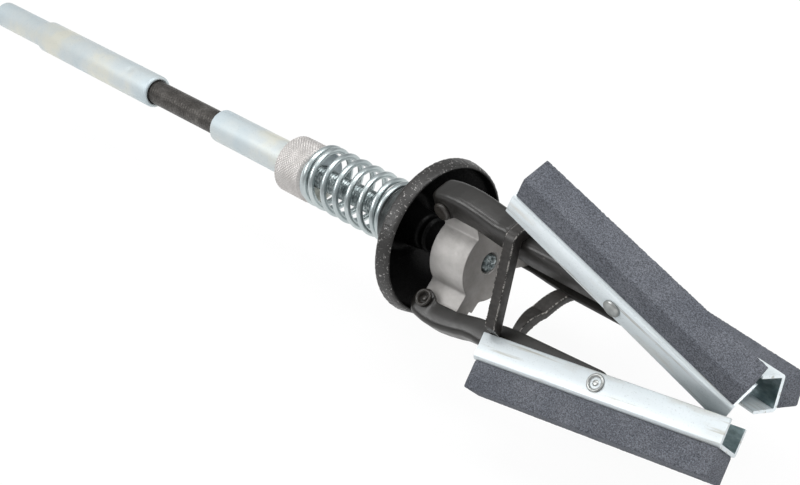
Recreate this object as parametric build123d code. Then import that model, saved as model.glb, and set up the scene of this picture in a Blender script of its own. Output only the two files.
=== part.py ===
# Cylinder hone: three stones on swinging arms, opened by a spring-loaded cup.
# Millimetres. X runs along the spin axis from the drill shank to the stones,
# Z points outward along the top arm. Lengths below count from the shank's end
# face; DATUM then puts the origin in the middle of the shank, where a chuck grips.
import os
from math import cos, radians, sin, sqrt

from build123d import *

os.makedirs("parts", exist_ok=True)

# Driving sizes
STONE_L = 100.0            # four-inch stone, the size everything is read from
STONE_W = 12.7             # half-inch wide
STONE_H = 9.4              # showing above its holder

DATUM = 20.0
SHANK_D = 12.5             # half-inch chuck size
SHANK_L = 39.6
TUBE_D = 14.8
TUBE_END = 126.6
DIMPLE_AT = 103.0          # press mark that grips the flexible shaft
FLEX_D = 10.8
FLEX_SEAT = 20.0           # length of shaft held in each bore
SLEEVE_D = 14.6
SLEEVE_START = 172.4
SLEEVE_END = 220.0
ROD_D = 9.5
RUN = 0.08                 # radial running clearance on rods and pins

NUT_D = 24.2
NUT_START = 220.4
NUT_L = 16.8
KNURLS = 36                # grooves round the grip
WASHER_T = 1.2
WIRE = 2.5
SPRING_OD = 25.6
SPRING_TURNS = 7.45
SPRING_END = 285.7

CUP_SEAT = 285.8
CUP_T = 2.2
CUP_R = 32.1
CUP_FRONT = 310.8
RIM_W = 5.9
RIM_T = 2.0

PIVOT_X = 320.0
PIVOT_R = 23.6
PIVOT_D = 6.0
HUB_BACK = 8.0             # behind the pivots
HUB_FRONT = 12.0           # ahead of the pivots
HUB_CORE_R = 13.5
STUD_D = 7.6
LUG_TOP = 4.2

SHEET = 1.4                # arm and holder sheet
ARM_W = 11.0               # shoulder part, outside
ARM_N = 9.2                # long part, outside
SHOULDER_END = 27.0        # where the arm starts to narrow, ahead of its pivot
NECK_START = 36.0          # where it has narrowed
SIDE_GAP = 0.2             # each side, between sheet and what swings inside

TIP_X = 83.6               # stone rivet ahead of the pivot
TIP_Z = -2.6               # and out from it
TIP_D = 5.0
HOLD_W = 14.4
HOLD_TOP = 7.35            # stone face of the channel above its rivet
HOLD_EDGE = -4.2
STONE_BACK = 49.4          # stone's shank end behind the rivet
HOLD_OVER = 1.2            # holder beyond the stone at each end
ANGLE = {"top": -29.0, "near": -7.9, "far": -13.4}
TURN = {"top": 0.0, "near": 120.0, "far": -120.0}

BAND = 4.8
BAND_X = 30.5              # band centre ahead of the pivots
BAND_LIFT = 5.45           # arm's back above the pivot under the band


# Small helpers
def rod(d, x0, x1):
    """Round bar along X."""
    return Pos(x0, 0, 0) * extrude(Plane.YZ * Circle(d / 2), x1 - x0)


def across(d, y0, y1):
    """Round bar along Y."""
    return Pos(0, y0, 0) * extrude(Plane.ZX * Circle(d / 2), y1 - y0)


def side(points, y0, y1):
    """Prism from an outline in X and Z."""
    outline = Polyline([(x, 0, z) for x, z in points] + [(points[0][0], 0, points[0][1])])
    face = make_face(outline)
    return Pos(0, y0, 0) * extrude(face, y1 - y0, dir=(0, 1, 0))


def plan(points, z0, z1):
    """Prism from half an outline in X and Y, mirrored about the middle."""
    full = points + [(x, -y) for x, y in reversed(points)]
    outline = Polyline([(x, y, 0) for x, y in full] + [(full[0][0], full[0][1], 0)])
    return Pos(0, 0, z0) * extrude(make_face(outline), z1 - z0, dir=(0, 0, 1))


def turned(points):
    """Solid of revolution about X from an outline in X and radius."""
    outline = Polyline([(x, 0, r) for x, r in points] + [(points[0][0], 0, points[0][1])])
    return revolve(make_face(outline), Axis.X)


def save(shape, name):
    shape = shape.solids()[0] if len(shape.solids()) == 1 else shape
    assert shape.is_valid, name
    shape = Pos(-DATUM, 0, 0) * shape
    shape.label = name
    export_step(shape, "parts/%s.step" % name)


# Drive shank: chuck shank and bored tube in one
bore_d = FLEX_D + 0.04
shank = turned([(0, 0), (0, SHANK_D / 2 - 2.2), (1.6, SHANK_D / 2),
                (SHANK_L, SHANK_D / 2), (SHANK_L + 1.2, TUBE_D / 2),
                (TUBE_END - 0.4, TUBE_D / 2), (TUBE_END, TUBE_D / 2 - 0.4),
                (TUBE_END, FLEX_D / 2 + 0.9), (TUBE_END - 1.2, bore_d / 2),
                (TUBE_END - FLEX_SEAT, bore_d / 2), (TUBE_END - FLEX_SEAT - 3, 0)])
dimple = Pos(DIMPLE_AT, -TUBE_D / 2 - 0.5, 2.6) * Sphere(1.5)
save(shank - dimple, "drive_shank")

# Flexible shaft
save(rod(FLEX_D, TUBE_END - FLEX_SEAT, SLEEVE_START + FLEX_SEAT), "flexible_shaft")

# Stem: bored sleeve, then the rod that carries nut, spring, cup and hub
stud_end = PIVOT_X + HUB_FRONT + 2.2
hub_front = PIVOT_X + HUB_FRONT
stem = turned([(SLEEVE_START + FLEX_SEAT + 3, 0), (SLEEVE_START + FLEX_SEAT, bore_d / 2),
               (SLEEVE_START + 1.0, bore_d / 2), (SLEEVE_START, FLEX_D / 2 + 0.8),
               (SLEEVE_START, SLEEVE_D / 2 - 1.4), (SLEEVE_START + 1.4, SLEEVE_D / 2),
               (SLEEVE_END - 1.2, SLEEVE_D / 2), (SLEEVE_END, SLEEVE_D / 2 - 1.2),
               (SLEEVE_END, ROD_D / 2),
               (PIVOT_X - HUB_BACK, ROD_D / 2), (PIVOT_X - HUB_BACK, STUD_D / 2),
               (hub_front, STUD_D / 2), (hub_front, STUD_D / 2 + 1.0),
               (stud_end - 0.8, STUD_D / 2 + 0.7), (stud_end, STUD_D / 2 - 1.2),
               (stud_end - 0.7, STUD_D / 2 - 2.0), (stud_end - 1.1, 0)])
stake = Pos(SLEEVE_START + 9.0, -SLEEVE_D / 2 * sin(radians(60)),
            -SLEEVE_D / 2 * cos(radians(60))) * Sphere(1.3)
save(stem - stake, "stem")

# Adjusting nut: grooves both ways make the diamond grip
nut = turned([(NUT_START, ROD_D / 2 + RUN), (NUT_START, NUT_D / 2 - 3.4),
              (NUT_START + 1.6, NUT_D / 2 - 0.2), (NUT_START + 2.2, NUT_D / 2),
              (NUT_START + NUT_L - 0.8, NUT_D / 2), (NUT_START + NUT_L, NUT_D / 2 - 0.8),
              (NUT_START + NUT_L, ROD_D / 2 + RUN)])
grooves = []
for k in range(KNURLS):
    g = Pos(NUT_START + NUT_L / 2, 0, NUT_D / 2 + 0.42) * Rot(45, 0, 0) * Box(NUT_L + 2, 1.3, 1.3)
    grooves.append(Rot(k * 360.0 / KNURLS, 0, 0) * g)
nut = nut - grooves
save(nut, "adjusting_nut")

# Thrust washer
nut_end = NUT_START + NUT_L
washer = rod(SPRING_OD - 3.0, nut_end + 0.05, nut_end + 0.05 + WASHER_T) \
    - rod(ROD_D + 2 * RUN, nut_end - 1, nut_end + 3)
save(washer, "thrust_washer")

# Pressure spring
spring_start = nut_end + WASHER_T + 0.1
mean_r = (SPRING_OD - WIRE) / 2
height = SPRING_END - spring_start - WIRE
pitch = height / SPRING_TURNS
path = Helix(pitch=pitch, height=height, radius=mean_r)
wire = sweep(Plane(origin=path @ 0, z_dir=path % 0) * Circle(WIRE / 2), path)
spring = Pos(spring_start + WIRE / 2, 0, 0) * Rot(0, 90, 0) * wire
save(spring, "pressure_spring")

# Pressure cup
rim_back = CUP_FRONT - RIM_W
cup = turned([(CUP_SEAT, ROD_D / 2 + RUN), (CUP_SEAT, 13.2), (CUP_SEAT + 1.0, 14.0),
              (CUP_SEAT + 3.4, 15.7), (rim_back - 1.2, CUP_R - 1.9), (rim_back, CUP_R - 0.5),
              (rim_back + 0.8, CUP_R),
              (CUP_FRONT - 0.8, CUP_R), (CUP_FRONT, CUP_R - 0.8),
              (CUP_FRONT, CUP_R - RIM_T + 0.6), (CUP_FRONT - 0.6, CUP_R - RIM_T),
              (rim_back + 1.4, CUP_R - RIM_T), (rim_back - 0.4, CUP_R - RIM_T - 1.6),
              (CUP_SEAT + CUP_T + 2.6, 14.2), (CUP_SEAT + CUP_T + 0.6, 12.8),
              (CUP_SEAT + CUP_T, 11.8),
              (CUP_SEAT + CUP_T, 8.2), (CUP_SEAT + CUP_T + 2.6, 8.2),
              (CUP_SEAT + CUP_T + 2.6, ROD_D / 2 + RUN)])
save(cup, "pressure_cup")

# Hub: core with three flat ears
lug_w = ARM_W - 2 * SHEET - 2 * SIDE_GAP
core = Pos(PIVOT_X - HUB_BACK, 0, 0) * extrude(Plane.YZ * Circle(HUB_CORE_R), HUB_BACK + HUB_FRONT)
ear = side([(-HUB_BACK, 8 - PIVOT_R), (-HUB_BACK, -7.0), (-4.6, -3.6), (-4.6, 1.4),
            (-2.2, LUG_TOP), (HUB_FRONT - 1.6, LUG_TOP), (HUB_FRONT, LUG_TOP - 1.6),
            (HUB_FRONT, 8 - PIVOT_R)], -lug_w / 2, lug_w / 2)
ear = Pos(PIVOT_X, 0, PIVOT_R) * ear
pin_hole = Pos(PIVOT_X, 0, PIVOT_R) * across(PIVOT_D + 2 * RUN, -10, 10)
hub = core
for t in TURN.values():
    hub = hub + Rot(t, 0, 0) * ear
for t in TURN.values():
    hub = hub - Rot(t, 0, 0) * pin_hole
hub = hub - rod(STUD_D, PIVOT_X - HUB_BACK - 1, hub_front + 1)
save(hub, "hub")

# Arms: stamped channels, back outward
outer = [(-6.2, 5.2), (-3.0, 7.4), (2.5, 8.4), (9.7, 9.3), (17.5, 9.2), (24.0, 7.4),
         (26.4, BAND_LIFT), (31.5, BAND_LIFT), (32.8, 2.75), (TIP_X, TIP_Z + 4.9),
         (TIP_X + 3.4, TIP_Z + 3.5), (TIP_X + 4.9, TIP_Z), (TIP_X + 3.6, TIP_Z - 4.2),
         (TIP_X, TIP_Z - 5.8), (44.0, -6.7), (38.0, -6.0), (29.0, -4.0), (16.6, -1.6),
         (5.0, -3.9), (0.0, -4.4), (-4.0, -2.6), (-6.6, 0.6)]
inner = [(-12.0, 0.6), (-6.6, 3.4), (-2.6, 5.9), (2.7, 6.95), (9.8, 7.85), (17.2, 7.75),
         (23.3, 6.0), (26.0, BAND_LIFT - SHEET), (30.4, BAND_LIFT - SHEET),
         (31.7, 2.75 - SHEET), (TIP_X + 12, TIP_Z + 4.9 - SHEET), (TIP_X + 12, -20), (-12, -20)]
w, n = ARM_W / 2, ARM_N / 2
arm = side(outer, -w, w) & plan([(-8, w - 2.4), (-5.6, w - 2.4), (-3.0, w), (SHOULDER_END, w), (NECK_START, n),
                                 (TIP_X + 8, n)], -20, 20)
cavity = side(inner, -w, w) & plan([(-20, w - SHEET), (SHOULDER_END - 0.4, w - SHEET),
                                    (NECK_START - 0.4, n - SHEET),
                                    (TIP_X + 14, n - SHEET)], -21, 21)
arm = arm - cavity
arm = arm - across(PIVOT_D, -20, 20) - Pos(TIP_X, 0, TIP_Z) * across(TIP_D + 2 * RUN, -20, 20)

# pivot rivet: domed head on one side, rolled tube end on the other
pin = across(PIVOT_D, -w, w)
head = Pos(0, -w, 0) * extrude(Plane.ZX * Circle(3.7), -0.9)
dome = Pos(0, -w - 0.9, 0) * extrude(Plane.ZX * Circle(3.0), -0.7)
roll = across(7.0, w, w + 0.9)
pivot_rivet = pin + head + dome + roll - across(2.8, w - 5, w + 2)

# holder: channel, stone face outward; built about its own rivet
hw = HOLD_W / 2
hold_back = STONE_BACK + HOLD_OVER
hold_front = STONE_L - STONE_BACK + HOLD_OVER
middle = STONE_L / 2 - STONE_BACK
holder = side([(-hold_back, HOLD_TOP), (hold_front, HOLD_TOP), (hold_front, HOLD_EDGE + 1.5),
               (hold_front - 1.5, HOLD_EDGE), (1.5 - hold_back, HOLD_EDGE),
               (-hold_back, HOLD_EDGE + 1.5)], -hw, hw)
holder = holder - Pos(middle, 0, HOLD_TOP - SHEET - 10) \
    * Box(STONE_L + 2 * HOLD_OVER + 4, HOLD_W - 2 * SHEET, 20)
holder = holder - across(TIP_D + 2 * RUN, -20, 20)
stone = Pos(middle, 0, HOLD_TOP + STONE_H / 2) * Box(STONE_L, STONE_W, STONE_H)

# stone rivet: turns in the holder and in the arm
ends = hw + 0.05
tip_pin = across(TIP_D, -ends, ends)
tip_head = Pos(0, -ends, 0) * extrude(Plane.ZX * Circle(3.5), -0.8)
tip_dome = Pos(0, -ends - 0.8, 0) * extrude(Plane.ZX * Circle(2.7), -0.5)
tip_roll = across(7.0, ends, ends + 0.8)
tip_rivet = tip_pin + tip_head + tip_dome + tip_roll - across(3.6, ends - 2, ends + 2)

for name, t in TURN.items():
    at_pivot = Rot(t, 0, 0) * Pos(PIVOT_X, 0, PIVOT_R)
    at_tip = at_pivot * Pos(TIP_X, 0, TIP_Z) * Rot(0, -ANGLE[name], 0)
    save(at_pivot * arm, "arm_" + name)
    save(at_pivot * pivot_rivet, "pivot_rivet_" + name)
    save(at_tip * holder, "stone_holder_" + name)
    save(at_tip * stone, "stone_" + name)
    save(at_tip * tip_rivet, "stone_rivet_" + name)

# Retaining band: square rubber ring stretched over the arms' backs
r0 = PIVOT_R + BAND_LIFT + 0.02
half = ARM_W / 2 + 0.1
corner = []
for t in sorted(t % 360.0 for t in TURN.values()):
    a = radians(t)
    for s in (half, -half):
        corner.append((-sin(a) * r0 + cos(a) * s, cos(a) * r0 + sin(a) * s))
pts = [(0, y, z) for y, z in corner]
# the loop goes round in one direction
loop = make_face(Polyline(pts + [pts[0]]))
ring_out = offset(loop, BAND)
x0 = PIVOT_X + BAND_X - BAND / 2
band = Pos(x0, 0, 0) * (extrude(ring_out, BAND, dir=(1, 0, 0)) - extrude(loop, BAND, dir=(1, 0, 0)))
save(band, "retaining_band")
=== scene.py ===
# %% [markdown]
# # A three-stone cylinder hone
# A hone polishes the wall of an engine cylinder. A drill turns the plain shank,
# a flexible shaft forgives a crooked grip, and a spring behind a dished cup
# presses three arms outward, each with a stone that rocks on a rivet.
# The solids are loaded first, because each piece below hides the solid it stands in for.
# %% Load the solids
import math

import bmesh
import bpy
import numpy as np
from mathutils import Matrix, Vector


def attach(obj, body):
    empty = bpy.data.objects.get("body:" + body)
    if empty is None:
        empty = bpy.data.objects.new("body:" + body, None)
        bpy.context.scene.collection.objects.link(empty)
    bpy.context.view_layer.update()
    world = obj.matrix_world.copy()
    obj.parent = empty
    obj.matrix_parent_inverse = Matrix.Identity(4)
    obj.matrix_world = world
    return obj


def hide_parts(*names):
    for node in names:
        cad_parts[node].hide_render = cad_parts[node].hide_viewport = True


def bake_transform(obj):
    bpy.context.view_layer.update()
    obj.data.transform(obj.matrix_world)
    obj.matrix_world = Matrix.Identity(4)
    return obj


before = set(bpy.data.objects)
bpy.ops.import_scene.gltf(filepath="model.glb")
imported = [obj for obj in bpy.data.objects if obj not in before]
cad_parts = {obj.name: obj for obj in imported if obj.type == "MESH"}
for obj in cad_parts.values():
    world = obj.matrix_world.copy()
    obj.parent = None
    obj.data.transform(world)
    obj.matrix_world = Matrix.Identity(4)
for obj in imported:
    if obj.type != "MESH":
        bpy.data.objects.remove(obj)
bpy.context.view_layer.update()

# %% [markdown]
# ## The viewpoint
# The photograph looks down on the tool from beyond the stones. The camera stands
# there, given as its place and its three axes, and a long lens keeps the view calm.
# %% Camera
camera = bpy.data.objects.new("camera", bpy.data.cameras.new("camera"))
bpy.context.scene.collection.objects.link(camera)
right = Vector((0.68973125, 0.69976012, -0.18602842))
up = Vector((-0.36450191, 0.55755527, 0.74583542))
back = right.cross(up)
turn = Matrix((right, up, back)).transposed().to_4x4()
camera.matrix_world = Matrix.Translation((0.698769, -0.312725, 0.432470)) @ turn
camera.data.sensor_width = 36.0
camera.data.lens = 78.547
camera.data.clip_start = 0.02
bpy.context.scene.camera = camera
print("camera looks along", tuple(round(-c, 2) for c in back))

# %% [markdown]
# ## The room
# A white table lies under the tool, as for a catalogue picture. Lit paint alone would
# turn grey far from the lamps, so camera and mirroring metal see a plain glow there,
# and the lamps find an ordinary pale surface that still takes a shadow.
# %% Table
FLOOR_Z = -0.0500
PALE, GLOW_SHARE = 0.93, 0.93
bpy.ops.mesh.primitive_plane_add(size=6.0, location=(0.15, 0, FLOOR_Z))
table = bpy.context.object
table.name = "table"


def blank(name):
    """A material with an empty board: the material, its nodes, links and shader."""
    mat = bpy.data.materials.new(name)
    mat.use_nodes = True
    tree = mat.node_tree
    shader = tree.nodes["Principled BSDF"]
    return mat, tree.nodes, tree.links, shader


def combined(n, l, operation, a, b):
    """Two values made into one, as by MAXIMUM; b may be a plain number."""
    m = n.new("ShaderNodeMath")
    m.operation = operation
    l.new(a, m.inputs[0])
    if isinstance(b, float):
        m.inputs[1].default_value = b
    else:
        l.new(b, m.inputs[1])
    return m.outputs[0]


white, n, l, shader = blank("table_white")
shader.inputs["Base Color"].default_value = (PALE, PALE, PALE, 1)
shader.inputs["Roughness"].default_value = 0.9
shader.inputs["Specular IOR Level"].default_value = 0.0
glow = n.new("ShaderNodeEmission")
glow.inputs["Color"].default_value = (1, 1, 1, 1)
glow.inputs["Strength"].default_value = 1.0
rays = n.new("ShaderNodeLightPath")
either = combined(n, l, "MAXIMUM", rays.outputs["Is Camera Ray"], rays.outputs["Is Glossy Ray"])
mixed = n.new("ShaderNodeMixShader")
l.new(combined(n, l, "MULTIPLY", either, GLOW_SHARE), mixed.inputs[0])
l.new(shader.outputs[0], mixed.inputs[1])
l.new(glow.outputs[0], mixed.inputs[2])
l.new(mixed.outputs[0], n["Material Output"].inputs["Surface"])
table.data.materials.append(white)
print("table at", FLOOR_Z)

# %% [markdown]
# Plated metal shows little of its own colour and much of its surroundings. The world
# is therefore a studio of soft greys, darkest a little above the horizon and bright
# overhead, and this change is what draws the turned bars as round.
# %% World
def ramp(n, l, source, stops):
    """Turns a grey value into colours: stops are (place, colour or grey)."""
    r = n.new("ShaderNodeValToRGB")
    e = r.color_ramp.elements
    while len(e) < len(stops):
        e.new(0.5)
    for item, (at, c) in zip(e, stops):
        item.position = at
        item.color = (c, c, c, 1) if isinstance(c, float) else (*c, 1)
    l.new(source, r.inputs[0])
    return r.outputs[0]


# (height from the horizon to overhead, colour)
WALLS = [
    (0.0, (0.62, 0.63, 0.64)),
    (0.35, (0.34, 0.35, 0.36)),
    (0.70, (0.88, 0.89, 0.90)),
    (1.0, (1.0, 1.0, 1.0)),
]
world = bpy.data.worlds.new("studio")
bpy.context.scene.world = world
world.use_nodes = True
wn, wl = world.node_tree.nodes, world.node_tree.links
split = wn.new("ShaderNodeSeparateXYZ")
wl.new(wn.new("ShaderNodeTexCoord").outputs["Generated"], split.inputs[0])
wl.new(ramp(wn, wl, split.outputs["Z"], WALLS), wn["Background"].inputs["Color"])
wn["Background"].inputs["Strength"].default_value = 0.80
print(world.name, "in", len(WALLS), "greys")

# %% [markdown]
# Three soft boxes aim at the middle of the tool: one on each side and a long one
# above. Large lamps give wide, soft highlights, where small ones leave hard dots.
# %% Soft boxes
MIDDLE = (0.22, 0.0, 0.0)
# name: place, size, watts
LAMPS = {
    "box_left": ((-0.25, -0.75, 0.85), (0.7, 0.5), 6.5),
    "box_right": ((1.0, 0.45, 0.75), (0.5, 0.7), 6.0),
    "box_top": ((0.20, 0.15, 1.15), (0.9, 0.35), 5.0),
}
for name, (place, size, watts) in LAMPS.items():
    lamp = bpy.data.lights.new(name, "AREA")
    lamp.shape = "RECTANGLE"
    lamp.size, lamp.size_y = size
    lamp.energy = watts
    box = bpy.data.objects.new(name, lamp)
    bpy.context.scene.collection.objects.link(box)
    box.location = place
    box.rotation_euler = (Vector(MIDDLE) - Vector(place)).to_track_quat("-Z", "Y").to_euler()
print(len(LAMPS), "soft boxes")

# %% [markdown]
# ## Finishes
# Metal reads as metal through small faults: turning lines, faint stains, a spread of
# gloss. Each finish is mixed from noise placed in the tool's own frame, so it rides
# along with the piece and keeps its scale in millimetres.
# %% Helpers for the finishes
def coords(n, l, scale, own=False):
    """Stretched coordinates: the tool's, or with own the holder's that its mesh keeps."""
    if own:
        source = n.new("ShaderNodeAttribute")
        source.attribute_name = "own"
    else:
        source = n.new("ShaderNodeTexCoord")
    m = n.new("ShaderNodeMapping")
    m.inputs["Scale"].default_value = scale if isinstance(scale, tuple) else [scale] * 3
    l.new(source.outputs["Vector" if own else "Object"], m.inputs["Vector"])
    return m.outputs[0]


def grain(n, l, scale, detail=4.0, rough=0.55, own=False):
    """Cloudy noise; scale is in specks per metre, one number or one for each axis."""
    t = n.new("ShaderNodeTexNoise")
    t.inputs["Scale"].default_value = 1.0
    t.inputs["Detail"].default_value = detail
    t.inputs["Roughness"].default_value = rough
    l.new(coords(n, l, scale, own), t.inputs["Vector"])
    return t.outputs["Fac"]


def blend_colours(n, l, fac, a, b, mode="MIX"):
    """Lays colour b over a by fac; each may be a plain value or come from a node."""
    m = n.new("ShaderNodeMix")
    m.data_type = "RGBA"
    m.blend_type = mode
    if isinstance(fac, float):
        m.inputs[0].default_value = fac
    else:
        l.new(fac, m.inputs[0])
    for sock, v in ((6, a), (7, b)):
        if isinstance(v, tuple):
            m.inputs[sock].default_value = (*v, 1)
        else:
            l.new(v, m.inputs[sock])
    return m.outputs[2]


def dent(n, l, shader, heights, distance):
    """Adds bumps: heights are (source, strength), one after the other."""
    last = None
    for source, strength in heights:
        b = n.new("ShaderNodeBump")
        b.inputs["Strength"].default_value = strength
        b.inputs["Distance"].default_value = distance
        l.new(source, b.inputs["Height"])
        if last is not None:
            l.new(last, b.inputs["Normal"])
        last = b.outputs[0]
    l.new(last, shader.inputs["Normal"])


def set_values(l, shader, colour, roughness, metallic=0.0, specular=0.5):
    """Fills in the shader; each value may be a plain number or come from a node."""
    for name, value in (
            ("Base Color", colour), ("Roughness", roughness),
            ("Metallic", metallic), ("Specular IOR Level", specular)):
        if isinstance(value, float):
            shader.inputs[name].default_value = value
        else:
            l.new(value, shader.inputs[name])


print("five helpers")

# %% [markdown]
# Zinc plate on the turned steel is bright with fine rings left by the lathe, and
# clouds where the bath was uneven. Rings are noise squeezed along the spin axis only.
# %% Zinc plate
zinc, n, l, shader = blank("zinc_plate")
clouds = grain(n, l, 45, 5.0)
rings = grain(n, l, (1500, 4, 4), 3.0)
specks = grain(n, l, 1600, 2.0)
tone = ramp(n, l, clouds, [
    (0.32, (0.49, 0.565, 0.60)), (0.52, (0.57, 0.615, 0.62)), (0.68, (0.66, 0.66, 0.585))])
pits = ramp(n, l, specks, [(0.26, 0.72), (0.40, 1.0)])
colour = blend_colours(n, l, 0.6, tone, pits, "MULTIPLY")
matt = ramp(n, l, clouds, [(0.25, 0.60), (0.75, 0.48)])
set_values(l, shader, colour, matt, metallic=0.5)
dent(n, l, shader, [(rings, 0.14), (specks, 0.10)], 0.00012)
print(zinc.name)

# %% [markdown]
# The spring was plated too, but drawn wire is smoother than a turned bar and its
# blue passivation is deeper, so it reflects with more contrast.
# %% Plated wire
wire_zinc, n, l, shader = blank("wire_zinc")
clouds = grain(n, l, 60, 4.0)
tone = ramp(n, l, clouds, [(0.3, (0.40, 0.455, 0.465)), (0.7, (0.60, 0.66, 0.66))])
matt = ramp(n, l, clouds, [(0.3, 0.36), (0.7, 0.26)])
set_values(l, shader, tone, matt, metallic=0.92)
dent(n, l, shader, [(grain(n, l, 900, 3.0), 0.12)], 0.0001)
print(wire_zinc.name)

# %% [markdown]
# Inside the coils the thread lies in the spring's shade, so its zinc is painted darker: painted shade.
# Bright patches stand in for crests catching light: painted highlights. A slow noise tells them apart.
# %% Thread in painted shade
shaded_thread_zinc, n, l, shader = blank("shaded_thread_zinc")
shade_and_glint_patches = grain(n, l, (260, 420, 420), 5.0, 0.65)
tone = ramp(n, l, shade_and_glint_patches, [
    (0.36, (0.10, 0.125, 0.13)), (0.55, (0.30, 0.345, 0.35)), (0.72, (0.66, 0.71, 0.71))])
set_values(l, shader, tone, 0.32, metallic=0.85)
dent(n, l, shader, [(shade_and_glint_patches, 0.2)], 0.0002)
print(shaded_thread_zinc.name)

# %% [markdown]
# The holders are folded from plated strip, so their marks and brown stains run along
# the strip. Each holder is set at its own angle, so the noise is placed in the
# holder's own directions. The three are lit and shaded copies of one zinc: painted light and shade.
# %% Holder zinc
def strip_finish(name, share):
    """Zinc of one holder: share scales its brightness as painted light or shade."""
    mat, n, l, shader = blank(name)
    clouds = grain(n, l, (30, 120, 120), 5.0, own=True)
    streaks = grain(n, l, (14, 900, 900), 3.0, own=True)
    specks = grain(n, l, 1500, 2.0)
    tones = [(0.28, (0.66, 0.67, 0.64)), (0.42, (0.755, 0.815, 0.84)), (0.75, (0.82, 0.88, 0.905))]
    tone = ramp(n, l, clouds, [(at, tuple(share * c for c in colour)) for at, colour in tones])
    stains = ramp(n, l, grain(n, l, (22, 420, 420), 7.0, 0.62, own=True), [(0.57, 0.0), (0.68, 0.7)])
    tone = blend_colours(n, l, stains, tone, (0.32, 0.295, 0.23))
    pits = ramp(n, l, specks, [(0.26, 0.70), (0.40, 1.0)])
    colour = blend_colours(n, l, 0.6, tone, pits, "MULTIPLY")
    matt = ramp(n, l, clouds, [(0.30, 0.52), (0.70, 0.40)])
    set_values(l, shader, colour, matt, metallic=0.5)
    dent(n, l, shader, [(streaks, 0.12), (specks, 0.10)], 0.00012)
    return mat


# each holder's share is painted light or shade on the same zinc
PAINTED_LIGHT_SHARE = {"top": 1.06, "near": 0.76, "far": 1.0}
lit_strip_zinc = {which: strip_finish("lit_strip_zinc_" + which, share) for which, share in PAINTED_LIGHT_SHARE.items()}
print(len(lit_strip_zinc), "strip finishes")

# %% [markdown]
# Inside the folded channel little light arrives, so that side gets its own darker,
# greener zinc: painted shade.
# %% Inside of the channel
channel_shade_zinc, n, l, shader = blank("channel_shade_zinc")
clouds = grain(n, l, (90, 160, 160), 5.0, 0.6)
tone = ramp(n, l, clouds, [
    (0.34, (0.10, 0.14, 0.145)), (0.52, (0.24, 0.31, 0.32)), (0.64, (0.50, 0.58, 0.60))])
set_values(l, shader, tone, 0.30, metallic=0.9)
dent(n, l, shader, [(clouds, 0.15)], 0.0002)
print(channel_shade_zinc.name)

# %% [markdown]
# The nut is bare aluminium with a warm cast. Its grip is cut into the mesh itself,
# so the finish only needs slow clouds and a fine scatter.
# %% Bare aluminium
alloy, n, l, shader = blank("bare_aluminium")
clouds = grain(n, l, 160, 4.0)
tone = ramp(n, l, clouds, [(0.3, (0.47, 0.45, 0.435)), (0.7, (0.57, 0.55, 0.535))])
matt = ramp(n, l, clouds, [(0.3, 0.52), (0.7, 0.42)])
set_values(l, shader, tone, matt, metallic=0.65)
dent(n, l, shader, [(grain(n, l, 2500, 2.0), 0.15)], 0.0001)
print(alloy.name)

# %% [markdown]
# The hub is a grey pressure casting: duller than the plate, with a cloudy skin. Its
# front face is painted darker than its sides as painted shade, so the finish reads how far ahead a point
# lies.
# %% Cast grey
# the front face, and the painted shade on it, begin between these two places, in metres along the axis
FACE_FROM, FACE_TO = 0.31365, 0.31385


def place_parts(n, l):
    """The X, Y and Z of a point in the tool's frame."""
    parts = n.new("ShaderNodeSeparateXYZ")
    l.new(n.new("ShaderNodeTexCoord").outputs["Object"], parts.inputs[0])
    return parts.outputs


def rising(n, l, source, start, end):
    """0 where source is below start, 1 where it is above end."""
    m = n.new("ShaderNodeMapRange")
    m.inputs["From Min"].default_value = start
    m.inputs["From Max"].default_value = end
    l.new(source, m.inputs["Value"])
    return m.outputs[0]


cast, n, l, shader = blank("cast_grey")
clouds = grain(n, l, 150, 6.0)
pores = grain(n, l, 700, 4.0)
tone = ramp(n, l, clouds, [(0.3, (0.37, 0.357, 0.343)), (0.7, (0.50, 0.485, 0.47))])
# the front face is painted darker: painted shade
face = rising(n, l, place_parts(n, l)["X"], FACE_FROM, FACE_TO)
painted_front_shade = blend_colours(n, l, 1.0, tone, (0.62, 0.61, 0.60), "MULTIPLY")
colour = blend_colours(n, l, face, tone, painted_front_shade)
matt = ramp(n, l, pores, [(0.3, 0.70), (0.7, 0.55)])
set_values(l, shader, colour, matt, metallic=0.45)
dent(n, l, shader, [(pores, 0.30), (grain(n, l, 1700, 2.0), 0.25)], 0.0002)
print(cast.name)

# %% [markdown]
# The arms are blackened and oiled, glossy where they bend, with a few rubbed spots
# that show steel. The spots are the rare peaks of a slow noise.
# %% Black arms
gloss_black, n, l, shader = blank("gloss_black")
peel = grain(n, l, 420, 3.0)
worn = ramp(n, l, grain(n, l, 260, 6.0, 0.65), [(0.70, 0.0), (0.76, 1.0)])
colour = blend_colours(n, l, worn, (0.0125, 0.0115, 0.010), (0.13, 0.12, 0.11))
matt = ramp(n, l, peel, [(0.3, 0.42), (0.7, 0.32)])
bare = ramp(n, l, worn, [(0.0, 0.0), (1.0, 0.7)])
set_values(l, shader, colour, matt, metallic=bare, specular=0.6)
dent(n, l, shader, [(peel, 0.04)], 0.0002)
print(gloss_black.name)

# %% [markdown]
# Rivets are soft steel. The arms' are blackened and a little paler than the arms,
# the holders' are plated and darker than the strip, so both stand out as round marks.
# %% Rivet finishes
rivet_black, n, l, shader = blank("rivet_black")
soft = grain(n, l, 600, 4.0)
tone = ramp(n, l, soft, [(0.3, (0.020, 0.0175, 0.015)), (0.7, (0.034, 0.030, 0.026))])
set_values(l, shader, tone, 0.36)
dent(n, l, shader, [(soft, 0.10)], 0.0002)

rivet_plate, n, l, shader = blank("rivet_plate")
soft = grain(n, l, 500, 4.0)
tone = ramp(n, l, soft, [(0.3, (0.30, 0.31, 0.30)), (0.7, (0.46, 0.47, 0.46))])
set_values(l, shader, tone, 0.34, metallic=0.8)
dent(n, l, shader, [(soft, 0.12)], 0.0002)
print(rivet_black.name, rivet_plate.name)
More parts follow.
